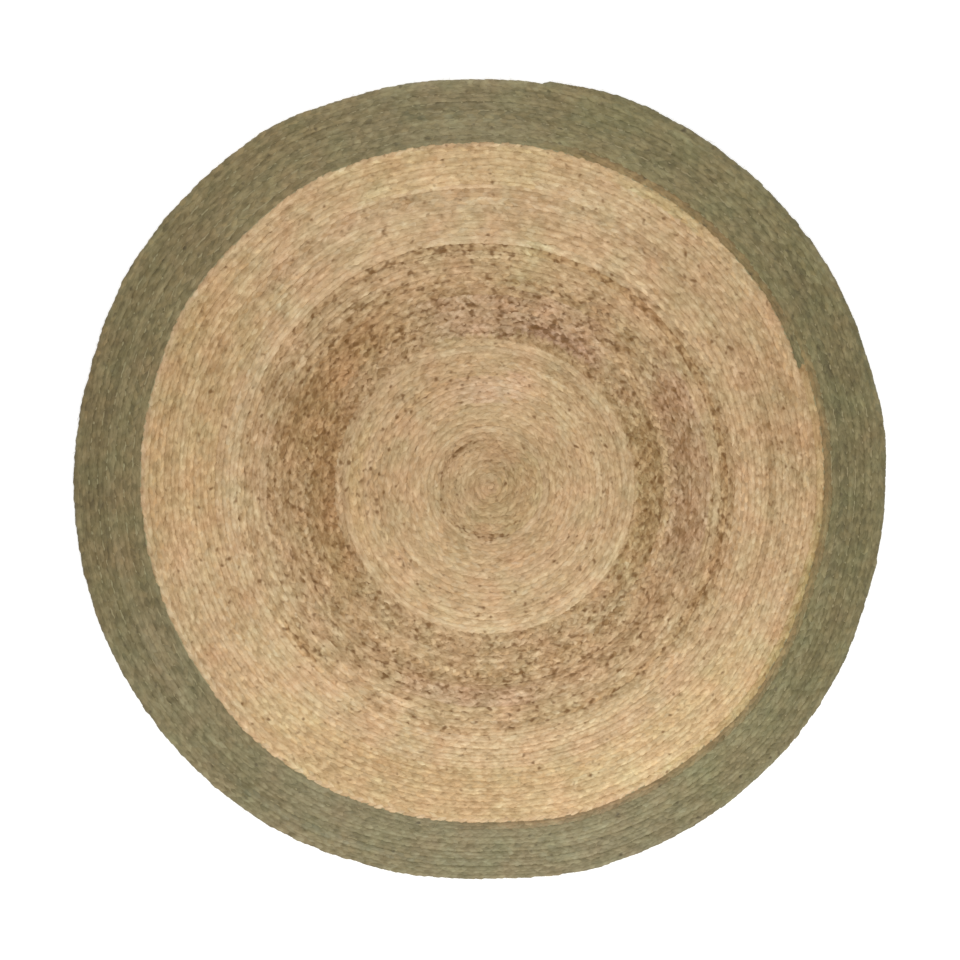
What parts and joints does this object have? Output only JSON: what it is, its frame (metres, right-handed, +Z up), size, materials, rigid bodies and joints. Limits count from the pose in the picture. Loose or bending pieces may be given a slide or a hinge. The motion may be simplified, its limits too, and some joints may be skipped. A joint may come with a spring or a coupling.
{
  "type": "round jute rug",
  "caption": "Flat round floor rug of plaited jute coiled in a spiral, with natural bands round a pale middle and a sage green border.",
  "frame": {"origin": "middle of the rug's outline, on its underside, where it rests on the floor", "axes": "+Z up out of the floor; +X along the rug's longest extent, to the right in a plan view; +Y to the top of a plan view; the plait's tail end is near +Y"},
  "size_m": [1.2006, 1.1822, 0.008],
  "materials": {
    "middle_jute": "matt pale natural jute plait",
    "brown_jute": "matt brown natural jute plait with dark flecks",
    "golden_jute": "matt golden natural jute plait",
    "green_jute": "matt jute plait dyed sage green"
  },
  "bodies": {
    "root": {"middle_coil": "middle_jute", "brown_ring_coil": "brown_jute", "golden_ring_coil": "golden_jute", "green_border_coil": "green_jute"}
  },
  "joints": []
}
